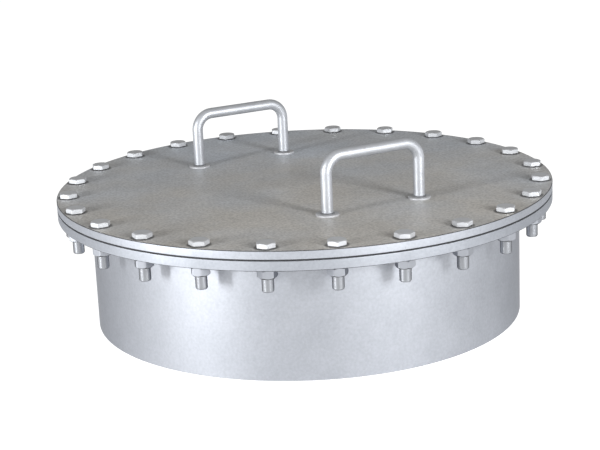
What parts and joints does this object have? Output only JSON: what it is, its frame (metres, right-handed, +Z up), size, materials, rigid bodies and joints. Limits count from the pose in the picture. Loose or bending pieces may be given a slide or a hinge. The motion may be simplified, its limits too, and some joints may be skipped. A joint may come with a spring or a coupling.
{
  "type": "bolted tank manway with blind cover",
  "caption": "Round stainless tank manway: a short weld-in neck with a flat flange, closed by a gasketed blind cover with hex bolts and two bar handles.",
  "frame": {"origin": "centre of the neck's lower end, on the axis of the neck", "axes": "+Z up along the neck's axis, from the tank to the cover; both handle bars run along X; the front handle is at -Y, 6 mm to +X of the middle, and the rear one at +Y, 6 mm to -X"},
  "size_m": [0.7199, 0.72, 0.2805],
  "materials": {
    "satin_neck_steel": "bead-blasted satin stainless",
    "blasted_cover_steel": "bead-blasted satin stainless, warm grey",
    "bright_bar_steel": "satin bright stainless bar",
    "foot_steel": "satin stainless",
    "weld_metal": "cleaned stainless weld",
    "fastener_steel": "plain stainless fasteners",
    "gasket_rubber": "flat black sheet rubber"
  },
  "bodies": {
    "neck": {"neck_shell": "satin_neck_steel", "flange_ring": "satin_neck_steel", "neck_outer_weld": "weld_metal", "neck_inner_weld": "weld_metal", "gasket": "gasket_rubber"},
    "cover": {"cover_plate": "blasted_cover_steel", "front_handle": "bright_bar_steel", "rear_handle": "bright_bar_steel", "front_left_foot": "foot_steel", "front_right_foot": "foot_steel", "rear_left_foot": "foot_steel", "rear_right_foot": "foot_steel", "front_left_weld": "weld_metal", "front_right_weld": "weld_metal", "rear_left_weld": "weld_metal", "rear_right_weld": "weld_metal"},
    "bolts": {"cover_bolts": "fastener_steel"},
    "nuts": {"cover_nuts": "fastener_steel"}
  },
  "joints": [
    {"name": "cover_lift", "type": "slide", "parent": "neck", "child": "cover", "axis": [0, 0, 1], "range_m": [0, 0.25]},
    {"name": "bolts_draw", "type": "slide", "parent": "cover", "child": "bolts", "axis": [0, 0, 1], "range_m": [0, 0.07]},
    {"name": "nuts_run_off", "type": "slide", "parent": "neck", "child": "nuts", "axis": [0, 0, -1], "range_m": [0, 0.036]}
  ]
}
